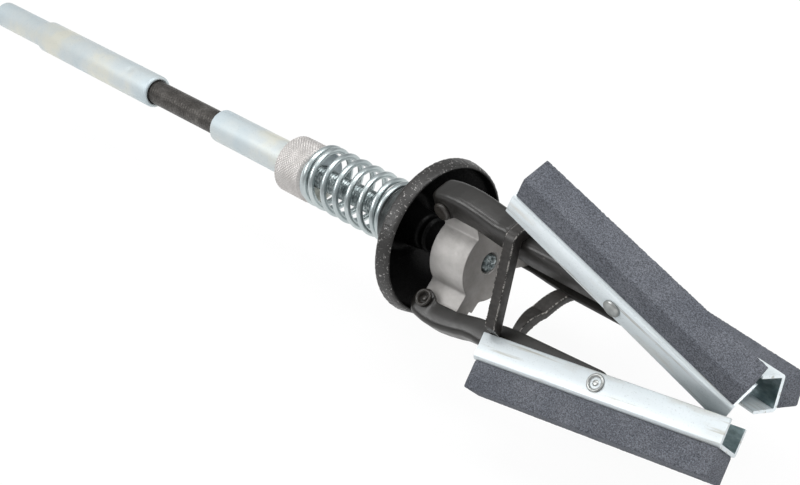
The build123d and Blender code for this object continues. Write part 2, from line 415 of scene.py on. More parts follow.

# %% [markdown]
# The cup has a coarse black coat: pale specks on its rim are painted glints of small
# facets, and the dish inside is painted near black as painted shade, though it still shows the
# circles it was spun with. The two are told apart by how far a point lies from the axis.
# %% Coarse black cup
# the dish, painted in shade, ends and the rim begins between these two radii, in metres
DISH_TO, RIM_FROM = 0.0296, 0.0301
cup_black, n, l, shader = blank("cup_black")
grit = n.new("ShaderNodeTexVoronoi")
grit.inputs["Scale"].default_value = 1.0
l.new(coords(n, l, 1500), grit.inputs["Vector"])
spun = grain(n, l, (900, 3, 3), 2.0)
# pale specks on the rim: painted glints
painted_glints = ramp(n, l, grain(n, l, 1100, 2.0), [(0.62, 0.0), (0.70, 1.0)])
parts = place_parts(n, l)
flat = n.new("ShaderNodeCombineXYZ")
l.new(parts["Y"], flat.inputs["Y"])
l.new(parts["Z"], flat.inputs["Z"])
radius = n.new("ShaderNodeVectorMath")
radius.operation = "LENGTH"
l.new(flat.outputs[0], radius.inputs[0])
rim = rising(n, l, radius.outputs["Value"], DISH_TO, RIM_FROM)
# the dish inside is painted near black: painted shade
dish_shade_coat = blend_colours(n, l, rim, (0.0035, 0.0035, 0.0035), (0.019, 0.018, 0.017))
painted_rim_glints = combined(n, l, "MULTIPLY", painted_glints, rim)
colour = blend_colours(n, l, painted_rim_glints, dish_shade_coat, (0.30, 0.29, 0.28))
sheen = ramp(n, l, rim, [(0.0, 0.10), (1.0, 0.5)])
matt = ramp(n, l, painted_glints, [(0.0, 0.42), (1.0, 0.22)])
set_values(l, shader, colour, matt, specular=sheen)
dent(n, l, shader, [(grit.outputs["Distance"], 0.35), (spun, 0.15)], 0.00018)
print(cup_black.name)

# %% [markdown]
# The band is black rubber. Its moulded corners crumble first and turn pale, so the
# mesh marks its corner points, and the noise breaks through only there.
# %% Rubber
rubber, n, l, shader = blank("band_rubber")
soft = grain(n, l, 500, 4.0)
tone = ramp(n, l, soft, [(0.3, (0.011, 0.0095, 0.008)), (0.7, (0.027, 0.0235, 0.021))])
corner = n.new("ShaderNodeAttribute")
corner.attribute_name = "corner"
broken = ramp(n, l, grain(n, l, 1000, 3.0, 0.6), [(0.46, 0.0), (0.56, 1.0)])
crumbs = combined(n, l, "MULTIPLY", corner.outputs["Fac"], broken)
colour = blend_colours(n, l, crumbs, tone, (0.30, 0.285, 0.265))
matt = ramp(n, l, soft, [(0.3, 0.52), (0.7, 0.40)])
set_values(l, shader, colour, matt)
dent(n, l, shader, [(soft, 0.12)], 0.0002)
print(rubber.name)

# %% [markdown]
# The flexible shaft is wound from dark wire that keeps a trace of old oil, so brown
# and grey mix under a fine fleck.
# %% Dark wire
dark_wire, n, l, shader = blank("dark_wire")
oil = grain(n, l, 130, 6.0, 0.65)
fleck = grain(n, l, 1300, 3.0)
tone = ramp(n, l, oil, [
    (0.30, (0.040, 0.036, 0.032)), (0.55, (0.080, 0.074, 0.068)), (0.75, (0.15, 0.142, 0.132))])
flecks = ramp(n, l, fleck, [(0.35, 0.45), (0.65, 1.3)])
colour = blend_colours(n, l, 0.7, tone, flecks, "MULTIPLY")
matt = ramp(n, l, fleck, [(0.3, 0.55), (0.7, 0.34)])
set_values(l, shader, colour, matt, metallic=0.55)
dent(n, l, shader, [(fleck, 0.30)], 0.0002)
print(dark_wire.name)

# %% [markdown]
# The stones are silicon carbide grit in a grey bond: three sizes of speckle, dark
# pores and bright grains, and no gloss at all.
# %% Grey grit
grit_grey, n, l, shader = blank("grit_grey")
broad = grain(n, l, 60, 5.0)
fine = grain(n, l, 2300, 2.0)
coarse = grain(n, l, 1300, 3.0)
base = ramp(n, l, broad, [(0.3, (0.082, 0.088, 0.103)), (0.7, (0.112, 0.118, 0.134))])
pores = ramp(n, l, coarse, [(0.34, 0.72), (0.50, 1.0), (0.68, 1.10)])
dots = ramp(n, l, fine, [(0.32, 0.55), (0.48, 1.0), (0.66, 1.6)])
bond = blend_colours(n, l, 1.0, base, pores, "MULTIPLY")
colour = blend_colours(n, l, 1.0, bond, dots, "MULTIPLY")
set_values(l, shader, colour, 0.92, specular=0.25)
dent(n, l, shader, [(fine, 0.45), (coarse, 0.35)], 0.00025)
print(grit_grey.name)

# %% [markdown]
# ## Making meshes
# Nearly all of the tool is turned, so one helper spins an outline of points
# (along the axis, radius) in millimetres. Sharp corners are marked from the angle
# between faces, which keeps rounds smooth and edges crisp.
# %% Helpers for meshes
MM = 0.001
# an outline that ends on the axis stops this far from it, so that no face collapses
AXIS = 0.02


def add_piece(name, verts, faces, material, body, node, sharp=35.0, lining=None, lined=()):
    """A mesh from millimetre points, shaded, finished and hung on its body."""
    me = bpy.data.meshes.new(name)
    points = [tuple(float(c) * MM for c in v) for v in verts]
    me.from_pydata(points, [], [tuple(int(i) for i in f) for f in faces])
    me.validate()
    me.materials.append(material)
    if lining:
        me.materials.append(lining)
        for k in lined:
            me.polygons[k].material_index = 1
    o = bpy.data.objects.new(name, me)
    bpy.context.scene.collection.objects.link(o)
    bpy.context.view_layer.objects.active = o
    bm = bmesh.new()
    bm.from_mesh(me)
    bmesh.ops.recalc_face_normals(bm, faces=bm.faces)
    for f in bm.faces:
        f.smooth = True
    for e in bm.edges:
        if len(e.link_faces) == 2:
            e.smooth = e.calc_face_angle(0.0) < math.radians(sharp)
    bm.to_mesh(me)
    bm.free()
    if body:
        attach(o, body)
    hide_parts(node)
    return o


def skin(rows, around, closed=False):
    """Faces between rings of points; closed also joins the last ring to the first."""
    faces = []
    for i in range(rows if closed else rows - 1):
        j = (i + 1) % rows
        for k in range(around):
            m = (k + 1) % around
            faces.append((i * around + k, i * around + m, j * around + m, j * around + k))
    return faces


def turned(outline, around, shape=None):
    """Spins (x, r) points round the axis. shape(x, r, angle) may move a point."""
    verts = []
    for x, r in outline:
        for k in range(around):
            a = 2 * math.pi * k / around
            px, pr = (x, r) if shape is None else shape(x, r, a)
            verts.append((px, pr * math.sin(a), pr * math.cos(a)))
    return verts, skin(len(outline), around, closed=True)


def softened(points, cut=0.3):
    """Replaces each corner of an outline by a short chamfer, so edges catch light."""
    out = []
    count = len(points)
    for i, p in enumerate(points):
        p = np.array(p, float)
        a, b = np.array(points[i - 1], float), np.array(points[(i + 1) % count], float)
        for q in (a, b):
            d = np.linalg.norm(q - p)
            out.append(tuple(p + (q - p) / d * min(cut, d * 0.3)))
    return out


print("four helpers in steps of", MM, "m")

# %% [markdown]
# ## Drive shank
# The chuck end is turned thinner than the bored tube behind it. The bore at the
# mouth is opened a little, so a dark ring shows round the flexible shaft. A press
# has pinched the tube to hold the shaft, and close rings of points carry that dent.
# %% Drive shank
CHUCK_R, TUBE_R, BORE_R = 6.25, 7.4, 5.45
SHOULDER_X, SHAFT_X0, TUBE_MOUTH = 20.8, 86.6, 106.6
# a press mark's place along the axis, its side in degrees, its depth and its size
SHANK_MARK = (90.0, -6.0, 0.4, 1.9)
shank_line = [(-19.3, AXIS), (-19.3, 3.8), (-18.6, 5.3), (-17.8, 6.0), (-17.0, CHUCK_R), (19.6, CHUCK_R)]
shank_line += [(SHOULDER_X, TUBE_R), (105.6, TUBE_R), (TUBE_MOUTH, 6.9), (TUBE_MOUTH, 5.9), (105.7, BORE_R)]
shank_line = softened(shank_line + [(SHAFT_X0, BORE_R), (83.6, AXIS)], 0.25)
tube_rows = [(x, TUBE_R) for x in np.arange(84.0, 96.1, 0.4)]
shoulder = max(i for i, p in enumerate(shank_line) if p[0] < SHOULDER_X + 1)
shank_line = shank_line[:shoulder + 1] + tube_rows + shank_line[shoulder + 1:]


def press_mark(x, r, a, mark_x, mark_turn, depth, size):
    """A round dent of a press tool on a turned bar."""
    round_by = (a - math.radians(mark_turn) + math.pi) % (2 * math.pi) * r - math.pi * r
    return r - depth * math.exp(-(math.hypot(x - mark_x, round_by) / size) ** 2)


def pinched_tube(x, r, a):
    """The tube's outside takes the press mark."""
    return x, press_mark(x, r, a, *SHANK_MARK) if r > TUBE_R - 0.1 else r


v, f = turned(shank_line, 144, pinched_tube)
add_piece("shank_turned", v, f, zinc, "drive", "drive_shank")
print("shank", len(f), "faces")

# %% [markdown]
# ## Flexible shaft
# Layers of wire wound both ways make a bar that bends but does not twist. The
# outer layer shows as a close spiral. The bar is made in two halves.
# %% Flexible shaft
SHAFT_MID, SHAFT_X1, SLEEVE_MOUTH, SHAFT_R = 129.5, 172.4, 152.4, 5.4
WIRES, WIRE_STEP, WIRE_GROOVE = 4, 1.6, 0.16


def wound(x0, x1):
    """A bar from x0 to x1 with the ridges of its outer wires."""
    steps = int((x1 - x0) / 0.4) + 1
    outline = [(x0, AXIS)] + [(x, SHAFT_R) for x in np.linspace(x0, x1, steps)] + [(x1, AXIS)]

    def wire(x, r, a):
        if r < 1:
            return x, r
        turns = x / WIRE_STEP + a / (2 * math.pi) * WIRES
        return x, r - WIRE_GROOVE * abs(2 * (turns % 1.0) - 1)

    return turned(outline, 48, wire)


for name, x0, x1, a, b, start, end in (
        ("wound_shaft_rear", SHAFT_X0, SHAFT_MID, "drive", "flex", TUBE_MOUTH, SHAFT_MID),
        ("wound_shaft_front", SHAFT_MID, SHAFT_X1, "flex", "stem", SHAFT_MID, SLEEVE_MOUTH)):
    v, f = wound(x0, x1)
    piece = add_piece(name, v, f, dark_wire, None, "flexible_shaft", sharp=70)
    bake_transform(piece)
print("flexible shaft in two halves")

# %% [markdown]
# ## Stem
# One bar carries everything: a sleeve for the flexible shaft, a screw thread for the
# nut, and a stud end that is peened over in the hub. The thread is a stack of fine
# ridges, which at this size looks the same as a true screw and stays light.
# %% Stem
SLEEVE_R, SLEEVE_END, ROOT_R, CREST_R, THREAD_STEP = 7.3, 199.8, 4.2, 4.75, 1.5
SLEEVE_MARK, MARK_REACH = (167.6, 126.0, 1.2, 2.0), 7.0
STUD_FROM, STUD_LIMIT = 312.1, 314.3
stem_line = [(175.4, AXIS), (SHAFT_X1, BORE_R), (153.4, BORE_R), (SLEEVE_MOUTH, 6.1), (SLEEVE_MOUTH, 6.3)]
stem_line += [(153.6, SLEEVE_R), *[(x, SLEEVE_R) for x in np.arange(161.0, 174.1, 0.4)]]
stem_line += [(198.8, SLEEVE_R), (SLEEVE_END, 6.4), (SLEEVE_END, 4.3)]
for x in np.arange(200.5, 262.0, THREAD_STEP):
    stem_line += [(x, ROOT_R), (x + 0.55, CREST_R), (x + 0.80, CREST_R), (x + 1.35, ROOT_R)]
stem_line += [(263.0, CREST_R), (292.0, CREST_R), (292.0, 3.75), (312.2, 3.7), (313.2, 3.55)]
stem_line += [(314.1, 3.1), (313.9, 2.2), (314.15, 1.4), (313.9, 0.7), (314.1, AXIS)]


def peened(x, r, a):
    """The stud's hammered end, uneven by a few waves, and the sleeve's press mark."""
    if x > STUD_FROM and r > 0.5:
        lift = 0.22 * math.sin(5 * a + r * 2.3) + 0.16 * math.sin(9 * a - r * 3)
        spread = 1 + 0.05 * math.sin(7 * a) + 0.03 * math.sin(3 * a + 2)
        return min(x + lift, STUD_LIMIT), r * spread
    if abs(x - SLEEVE_MARK[0]) < MARK_REACH and r > SLEEVE_R - 0.1:
        return x, press_mark(x, r, a, *SLEEVE_MARK)
    return x, r


around = 96
v, f = turned(stem_line, around, peened)
# from here on the faces are the thread, which takes the zinc with painted shade and painted highlights
thread_row = next(i for i, (x, r) in enumerate(stem_line) if x > SLEEVE_END + 0.1)
lined_faces = range(thread_row * around, len(f) - around)
add_piece("stem_turned", v, f, zinc, "stem", "stem", lining=shaded_thread_zinc, lined=lined_faces)
print("stem", len(f), "faces")

# %% [markdown]
# ## Adjusting nut
# The grip is a diamond knurl: two families of slanted grooves that leave small
# pyramids. The height of each point is the lower of two triangle waves.
# %% Adjusting nut
NUT_X0, NUT_X1, NUT_R = 200.4, 217.2, 12.25
KNURLS, KNURL_PITCH = 52, 1.45
# how deep the grooves go, how high the pyramids rise from there, how blunt they are
GROOVE, PYRAMID, BLUNT = 0.20, 0.24, 1.8


def knurled(x, r, a):
    """The grip's outside, cut by the two families of grooves."""
    if r < NUT_R - 0.05:
        return x, r
    u, w = a / (2 * math.pi) * KNURLS, (x - NUT_X0) / KNURL_PITCH
    ridge = min(1 - abs(2 * ((u + w) % 1.0) - 1), 1 - abs(2 * ((u - w) % 1.0) - 1))
    return x, r - GROOVE + PYRAMID * min(ridge * BLUNT, 1.0)


nut_line = [(NUT_X0, 4.85), (NUT_X0, 8.7), (NUT_X0 + 0.5, 9.8), (NUT_X0 + 1.5, 11.5)]
nut_line += [(x, NUT_R) for x in np.linspace(NUT_X0 + 2.2, NUT_X1 - 0.8, 80)]
nut_line += [(NUT_X1, 11.2), (NUT_X1, 4.85)]
v, f = turned(nut_line, 416, knurled)
add_piece("nut_knurled", v, f, alloy, "nut", "adjusting_nut", sharp=25)
print("nut with", KNURLS, "pyramids round")

# %% [markdown]
# A plain ring lets the nut turn against the spring without winding it up. It is spun
# like the rest, with edges softened to catch light.
# %% Thrust washer
WASHER_X0, WASHER_X1, WASHER_R, WASHER_HOLE = 217.25, 218.45, 11.3, 4.9
washer_line = [(WASHER_X0, WASHER_HOLE), (WASHER_X0, WASHER_R)]
washer_line += [(WASHER_X1, WASHER_R), (WASHER_X1, WASHER_HOLE)]
v, f = turned(softened(washer_line, 0.2), 96)
add_piece("washer_turned", v, f, zinc, "washer", "thrust_washer")
print("washer", round(WASHER_X1 - WASHER_X0, 2), "mm thick")

# %% [markdown]
# ## Pressure spring
# Round wire wound about seven times, with the last bit of each end lying flat. It is
# cut in two halves in the middle.
# %% Pressure spring
SPRING_X0, SPRING_X1, COIL_R, WIRE_R = 218.5, 265.7, 11.95, 1.3
# turns are counted from the top arm's side; the loose spring rests off the axis
FIRST, LAST = -0.15, 7.30
SPRING_Y, SPRING_Z = 0.7, 0.9


def coil_place(turn):
    """How far along the axis the wire is after so many turns: flat, climbing, flat."""
    lie = 2 * WIRE_R
    run = SPRING_X1 - SPRING_X0 - 2 * WIRE_R
    climb = float(np.interp(turn, [FIRST, FIRST + 1, LAST - 1, LAST], [0, lie, run - lie, run]))
    return SPRING_X0 + WIRE_R + climb


def caps(rows, around):
    """One face over the first ring of points and one over the last."""
    last = (rows - 1) * around
    return [tuple(range(around)), tuple(last + k for k in reversed(range(around)))]


def coil(t0, t1):
    """The wire between two shares of the spring's turns, 0 at the rear and 1 in front."""
    ring, verts = 14, []
    steps = int(60 * (LAST - FIRST) * (t1 - t0))
    for i in range(steps + 1):
        turn = FIRST + (LAST - FIRST) * (t0 + (t1 - t0) * i / steps)
        x = float(np.mean([coil_place(turn + d) for d in (-0.06, -0.03, 0, 0.03, 0.06)]))
        a = 2 * math.pi * turn
        for k in range(ring):
            b = 2 * math.pi * k / ring
            r = COIL_R + WIRE_R * math.cos(b)
            verts.append((x + WIRE_R * math.sin(b), SPRING_Y - r * math.sin(a), SPRING_Z + r * math.cos(a)))
    return verts, skin(steps + 1, ring) + caps(steps + 1, ring)


spring_mid = (SPRING_X0 + SPRING_X1) / 2
for name, t0, t1, a, b, start, end in (
        ("spring_rear", 0.0, 0.5, "washer", "stem", SPRING_X0, spring_mid),
        ("spring_front", 0.5, 1.0, "stem", "cup", spring_mid, SPRING_X1)):
    v, f = coil(t0, t1)
    piece = add_piece(name, v, f, wire_zinc, None, "pressure_spring", sharp=60)
    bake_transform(piece)
print("spring", SPRING_X1 - SPRING_X0, "mm long")

# %% [markdown]
# ## Pressure cup
# A dish pressed from plate with a heavy, coarse rim. The rim's roughness is moved
# into the mesh a little, so its outline is not a perfect circle.
# %% Pressure cup
RIM_R, WAVES = 30.4, 24
rng = np.random.default_rng(7)
lumps = rng.normal(0, 1, (3, WAVES))


def coarse_rim(x, r, a):
    """Moves the rim in and out by many small waves of drawn height and phase."""
    if r < RIM_R:
        return x, r
    h = sum(lumps[0, k] * math.sin((k + 9) * 3 * a + lumps[1, k] * 6 + x * lumps[2, k]) for k in range(WAVES))
    return x, r + 0.020 * h - 0.05


# the back, out to the rim, round it, down into the dish and along the guide tube
cup_line = [(265.8, 4.85), (265.8, 13.2), (266.8, 14.0), (269.2, 15.7), (282.9, 29.8), (283.9, 31.2)]
cup_line += [(284.7, 32.0), (289.2, 31.1), (290.1, 30.6), (290.3, 29.9), (289.9, 29.3), (286.0, 29.5)]
cup_line += [(284.5, 28.5), (270.6, 14.2), (268.6, 12.8), (268.0, 11.8), (268.0, 9.6), (269.2, 8.6)]
cup_line += [(279.6, 7.7), (281.0, 7.5), (281.5, 6.6), (283.0, 6.6), (284.1, 7.4), (284.8, 7.0)]
cup_line += [(285.3, 6.2), (291.3, 5.9), (291.3, 4.85)]
v, f = turned(softened(cup_line, 0.5), 240, coarse_rim)
add_piece("cup_pressed", v, f, cup_black, "cup", "pressure_cup", sharp=40)
print("cup", len(f), "faces")

# %% [markdown]
# ## Arms
# Each arm is a channel stamped from sheet: a back outside and two sides folded
# inward. A cross section is drawn as one closed outline with round bends, and the
# outline is carried along the arm while its height and width change.
# %% Channel helper
# the sides' edges are cut back this much outside and inside
LIP_OUT, LIP_IN = 0.25, 0.2


def u_section(half, top, edge, sheet, bend, other=None):
    """Outline of a channel seen along its length, as (across, out) points.

    The sides end at edge, and the one on the +y side at other where that is given.
    """
    other = edge if other is None else other
    bend = min(bend, half * 0.6, max((top - edge) * 0.45, 0.3))
    quarter = [math.pi / 2 * k / 6 for k in range(7)]
    outer = [(-half, edge + LIP_OUT)]
    outer += [(-half + bend - bend * math.cos(a), top - bend + bend * math.sin(a)) for a in quarter]
    outer += [(-y, z) for y, z in reversed(outer)]
    outer[-1] = (half, other + LIP_OUT)
    hi, ti, bi = half - sheet, top - sheet, max(bend - sheet, 0.35)
    ti = max(ti, edge + 0.5)
    inner = [(half - LIP_OUT, edge), (hi + LIP_IN, edge)]
    inner += [(hi - bi + bi * math.cos(a), ti - bi + bi * math.sin(a)) for a in quarter]
    inner += [(-y, z) for y, z in reversed(inner)]
    inner[0], inner[1] = (half - LIP_OUT, other), (hi + LIP_IN, other)
    return outer + inner


def laid(stations, place):
    """Points of cross sections and the faces between them; a station is (x, outline)."""
    verts = [place(x, y, z) for x, outline in stations for y, z in outline]
    return verts, skin(len(stations), len(stations[0][1]))


def swept(stations, place):
    """Joins the sections of a channel and closes its two ends with strips of faces."""
    verts, faces = laid(stations, place)
    ring = len(stations[0][1])
    for i, flip in ((0, False), (len(stations) - 1, True)):
        for k in range(ring // 2 - 1):
            q = (i * ring + k, i * ring + k + 1, i * ring + ring - 2 - k, i * ring + ring - 1 - k)
            faces.append(tuple(reversed(q)) if flip else q)
    return verts, faces


print("three helpers for channels")

# %% [markdown]
# The arms stand every 120 degrees and turn on rivets near their rear ends. Each
# carries its holder on a rivet near its tip. Two small maps put a point of an arm or
# a holder in its place, so one set of measures serves all three.
# %% Places of arms and holders
# degrees: where each arm stands round the axis, and how far its holder is closed
TURN = {"top": 0.0, "near": 120.0, "far": -120.0}
REST = {"top": -29.0, "near": -7.9, "far": -13.4}
PIVOT_X, PIVOT_R = 300.0, 23.6
TIP_X, TIP_Z = 83.6, -2.6


def on_arm(which):
    """Maps arm coordinates (ahead, across, out) to the tool's frame."""
    a = math.radians(TURN[which])

    def place(x, y, z):
        r = PIVOT_R + z
        return (PIVOT_X + x, -math.sin(a) * r + math.cos(a) * y, math.cos(a) * r + math.sin(a) * y)

    return place


def on_holder(which):
    """Maps holder coordinates, counted from its rivet, to the tool's frame."""
    a, arm = math.radians(REST[which]), on_arm(which)

    def place(x, y, z):
        return arm(TIP_X + x * math.cos(a) - z * math.sin(a), y, TIP_Z + x * math.sin(a) + z * math.cos(a))

    return place


print("pivots at", PIVOT_X, "and", PIVOT_R, "out; tips", TIP_X, "ahead of them")

# %% [markdown]
# An arm is deepest near its pivot, steps down to a long neck and ends in a rounded
# nose. Its back, edges and width are each drawn as straight runs with eased corners,
# as a press leaves them. Hand-fitted sheet differs from arm to arm: the near one has
# a flatter back and a slimmer neck.
# %% Arms
SHEET, ARM_BEND = 1.4, 2.5
TAIL_X, NOSE_X = -6.6, 88.4
top_x = [TAIL_X, -6.2, -4.6, -3.0, 2.5, 8.0, 13.0, 18.0, 23.0, 27.0, 33.2, 34.6, 40.0, 83.6, 86.6, NOSE_X]
top_z = [3.6, 5.0, 6.6, 7.4, 8.5, 8.9, 8.6, 7.7, 6.4, 5.4, 5.4, 2.75, 2.7, 2.3, 1.1, -1.6]
low_x = [TAIL_X, -4.4, -2.6, 0.0, 3.2, 5.4, 16.6, 29.0, 38.0, 44.0, 83.6, 87.0, NOSE_X]
low_z = [0.8, -1.4, -3.4, -4.1, -2.8, -0.8, -1.3, -4.0, -6.0, -6.7, -8.3, -6.6, -3.2]
wide_x = [TAIL_X, -5.6, -3.2, 26.6, 36.0, NOSE_X]
wide_y = [3.2, 4.4, 5.5, 5.5, 5.35, 5.35]
every_mm = np.linspace(TAIL_X, NOSE_X, 96)
cuts = sorted(set(np.round(np.concatenate([every_mm, top_x, low_x, wide_x]), 3)))
# how much an arm differs at most, and the share of it along the arm: (ahead, share)
FLATTER = {"top": 0.0, "near": 1.1, "far": 0.0}
FLATTER_ALONG = ([-4, 4, 14, 22, 28], [0.3, 0.5, 1, 1, 0])
SLIMMER = {"top": 0.0, "near": 0.7, "far": 0.0}
SLIMMER_ALONG = ([26, 36, 84, 88], [0, 1, 0.8, 0])


def eased(x, xs, zs, reach=0.9):
    """Straight runs with their corners averaged over a small reach."""
    return float(np.mean([np.interp(x + d, xs, zs) for d in np.linspace(-reach, reach, 9)]))


for which in TURN:
    stations = []
    for x in cuts:
        top = eased(x, top_x, top_z) - FLATTER[which] * float(np.interp(x, *FLATTER_ALONG))
        low = eased(x, low_x, low_z) + SLIMMER[which] * float(np.interp(x, *SLIMMER_ALONG))
        stations.append((x, u_section(eased(x, wide_x, wide_y), top, low, SHEET, ARM_BEND)))
    v, f = swept(stations, on_arm(which))
    arm = "arm_" + which
    add_piece("arm_pressed_" + which, v, f, gloss_black, arm, arm, sharp=50)
print("arms", len(cuts), "cross sections each")

# %% [markdown]
# ## Holders and stones
# A holder is a channel folded round the arm's end and the rivet, open towards the
# axis. The top one was folded carelessly: its near side gets deeper towards the front
# and its back falls there. Each mesh keeps the holder's own coordinates as the
# attribute own, so the stains follow the strip.
# %% Holders
HOLDER_X0, HOLDER_X1, HOLDER_HALF, HOLDER_BEND = -50.9, 52.9, 7.2, 1.7
# where the near side's edge is at the rear and in front, and the far side's all along
REAR_EDGE = {"top": -4.1, "near": -4.0, "far": -4.0}
FRONT_EDGE = {"top": -8.2, "near": -4.2, "far": -4.2}
FAR_SIDE_EDGE = -4.1
STONE_SEAT = 6.5
FRONT_SEAT = {"top": 5.1, "near": 6.4, "far": 6.5}


def seat_height(which, x):
    """Where the stone sits on its holder, which was folded lower at one end."""
    return float(np.interp(x, [-50, 50], [STONE_SEAT, FRONT_SEAT[which]]))


for which in TURN:
    lengths = np.linspace(HOLDER_X0, HOLDER_X1, 40)
    edges = np.interp(lengths, [HOLDER_X0, HOLDER_X1], [REAR_EDGE[which], FRONT_EDGE[which]])
    stations = []
    for x, edge in zip(lengths, edges):
        seat = seat_height(which, x)
        stations.append((x, u_section(HOLDER_HALF, seat, edge, SHEET, HOLDER_BEND, FAR_SIDE_EDGE)))
    v, f = swept(stations, on_holder(which))
    ring, runs = len(stations[0][1]), len(stations) - 1
    # the inside faces of the channel take the zinc with painted shade
    inner_side = [i * ring + k for i in range(runs) for k in range(ring // 2 + 1, ring - 2)]
    piece = add_piece(
        "holder_folded_" + which, v, f, lit_strip_zinc[which], "holder_" + which,
        "stone_holder_" + which, sharp=50, lining=channel_shade_zinc, lined=inner_side)
    own = piece.data.attributes.new("own", "FLOAT_VECTOR", "POINT")
    own.data.foreach_set("vector", [c * MM for x, outline in stations for y, z in outline for c in (x, y, z)])
print("holders", HOLDER_X1 - HOLDER_X0, "mm long")

# %% [markdown]
# A stone is a pressed bar bonded on its holder's back. Its long edges crumble first,
# so many rings of points are laid along it and each point is pulled in by a small
# drawn chip, four times as much at the outer corners.
# %% Stones
STONE_TOP = {"top": 17.9, "near": 17.3, "far": 17.3}
STONE_HALF, STONE_X0, STONE_X1 = 6.35, -50.0, 52.1
# a usual chip, the share of it away from the corners, and how far the end rings draw in
CHIP, CALM, END_PULL = 0.10, 0.25, 0.15


def grit_bar(seed, which):
    """Cross sections of one stone with its crumbled edges, drawn from seed."""
    rng = np.random.default_rng(seed)
    base, top, half = STONE_SEAT + 0.01, STONE_TOP[which], STONE_HALF
    side = [(-half + 0.35, base), (-half + 0.35, base + 0.45), (-half, base + 0.6)]
    side += [(-half, z) for z in np.linspace(base + 1.5, top - 0.6, 7)]
    side += [(-half + 0.12, top - 0.2), (-half + 0.4, top - 0.03)]
    across = [(y, top) for y in np.linspace(-half + 1.2, half - 1.2, 7)]
    outline = side + across + [(-y, z) for y, z in reversed(side)]
    stations = []
    for x in np.concatenate([[STONE_X0, -49.85], np.linspace(-49.5, 51.6, 190), [51.9, STONE_X1]]):
        ring = []
        pull = END_PULL if x in (STONE_X0, STONE_X1) else 0.0
        for y, z in outline:
            corner = 1.0 if abs(y) > half - 0.6 and z > top - 0.7 else CALM
            chip = abs(rng.normal(0, CHIP)) * corner
            fall = (STONE_SEAT - seat_height(which, x)) * (1.0 if z < base + 1 else 0.0)
            ring.append((y - np.sign(y) * (chip + pull), z - fall - (chip + pull if z > base + 1 else 0)))
        stations.append((float(x), ring))
    return stations


for seed, which in enumerate(TURN):
    stations = grit_bar(seed + 3, which)
    v, f = laid(stations, on_holder(which))
    f += caps(len(stations), len(stations[0][1]))
    add_piece("grit_bar_" + which, v, f, grit_grey, "holder_" + which, "stone_" + which, sharp=55)
print("stones", round(STONE_X1 - STONE_X0, 2), "mm long")

# %% [markdown]
# ## Retaining band
# A square rubber ring is stretched over the three arms and pulls them in. On the side
# where nothing holds it tight it sags and twists. Its path is made first, as rows that
# run from the middle of one side over a corner to the middle of an arm's back.
# %% Path of the band
BAND_X, BAND_SIDE = PIVOT_X + 37.4, 4.7
BAND_IN, BAND_HALF, SAG = PIVOT_R + 2.77, 4.72, 5.8
# the side between the near and the far arm sags inward: +1 is this arm's right side
SAGGING = {"top": 0, "near": -1, "far": 1}
NEAR_DIP = 2.6


def half_path(sag, dip=0.0):
    """Rows (place, outward, slack) from the middle of a side to the middle of the arm's back."""
    slant = math.radians(60)
    out = np.array([-math.sin(slant), math.cos(slant)])
    middle = out * (BAND_IN * math.cos(slant) + BAND_HALF * math.sin(slant))
    knee = np.array([-BAND_HALF, BAND_IN])
    rows = []
    for t in np.linspace(0, 1, 60):
        slack = 1.0 - t ** 3 if sag else 0.0
        inwards = sag * slack + dip * 4 * t * (1 - t)
        twist = slack * (1.0 - 2.4 * t) if dip else slack
        rows.append((middle + (knee - middle) * t - out * inwards, out, twist))
    for t in np.radians(np.linspace(60, 0, 9)[1:]):
        rows.append((knee, np.array([-math.sin(t), math.cos(t)]), 0.0))
    rows += [(np.array([y, BAND_IN]), np.array([0.0, 1.0]), 0.0) for y in np.linspace(-BAND_HALF, 0, 8)[1:]]
    return rows


def band_third(which):
    """The band from the middle of one side, over an arm, to the middle of the next."""
    left = half_path(SAG if SAGGING[which] < 0 else 0, NEAR_DIP if SAGGING[which] < 0 else 0)
    right = half_path(SAG if SAGGING[which] > 0 else 0)
    mirrored = [(np.array([-p[0], p[1]]), np.array([-q[0], q[1]]), k) for p, q, k in reversed(right[:-1])]
    return left + mirrored


print("a third of the band has", len(band_third("top")), "rows")

# %% [markdown]
# A square section is laid along the path, one third of the ring at a time. A closed
# holder squeezes the rubber between its walls, and its moulded corners have crumbled.
# %% Retaining band
# where a closed holder squeezes the rubber flat against the arm: from this height up
SQUEEZED = {"top": 99.0, "near": -0.3, "far": 4.3}
HOLDER_ROOM, ROOM_SLOPE = 5.8, 7.0
# slack rubber is thinner, wider and lies further back; FLASH roughens its corners
THINNER, WIDER, FURTHER_BACK, FLASH = 0.40, 0.50, 0.5, 0.16
# two radii along each third's outward line; the points made from them below are not used
STILL_R, MOVING_R = 13.0, 26.0


def square_section(side, corner, steps=4):
    """Points (along the axis, outward) round a square with rounded corners."""
    points = []
    for sx, sz, turn0 in ((1, 0, -90), (1, 1, 0), (-1, 1, 90), (-1, 0, 180)):
        for k in range(steps):
            a = math.radians(turn0 + 90 / (steps - 1) * k)
            cz = corner if sz == 0 else side - corner
            points.append((sx * (side / 2 - corner) + corner * math.cos(a), cz + corner * math.sin(a)))
    return points


def room_beside(which, z):
    """Half the room across, between the walls of a closed holder."""
    return HOLDER_ROOM + max(0.0, SQUEEZED[which] - z) * ROOM_SLOPE


